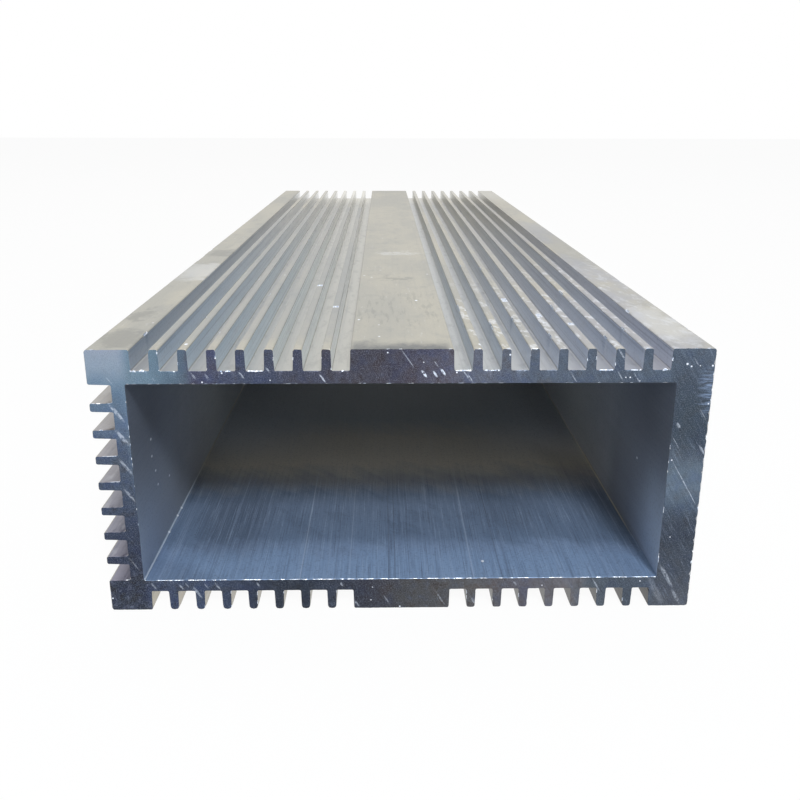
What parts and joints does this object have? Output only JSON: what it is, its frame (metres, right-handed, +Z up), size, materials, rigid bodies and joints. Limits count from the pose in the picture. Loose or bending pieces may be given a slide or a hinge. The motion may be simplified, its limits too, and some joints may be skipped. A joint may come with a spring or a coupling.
{
  "type": "extruded heat sink",
  "caption": "Hollow rectangular aluminium extrusion sawn to length, with fins along the top, bottom and one side, a plain thick wall opposite, and flat mounting lands.",
  "frame": {"origin": "centre of the bottom face, which the lower land, fin tips and corner bars lie in", "axes": "+X across the width to the plain wall, +Y along the extrusion, +Z up"},
  "size_m": [0.1, 0.3, 0.0465],
  "materials": {
    "mill_aluminium": "mill finish with die lines, sawn ends"
  },
  "bodies": {
    "root": {"heatsink_extrusion": "mill_aluminium"}
  },
  "joints": []
}
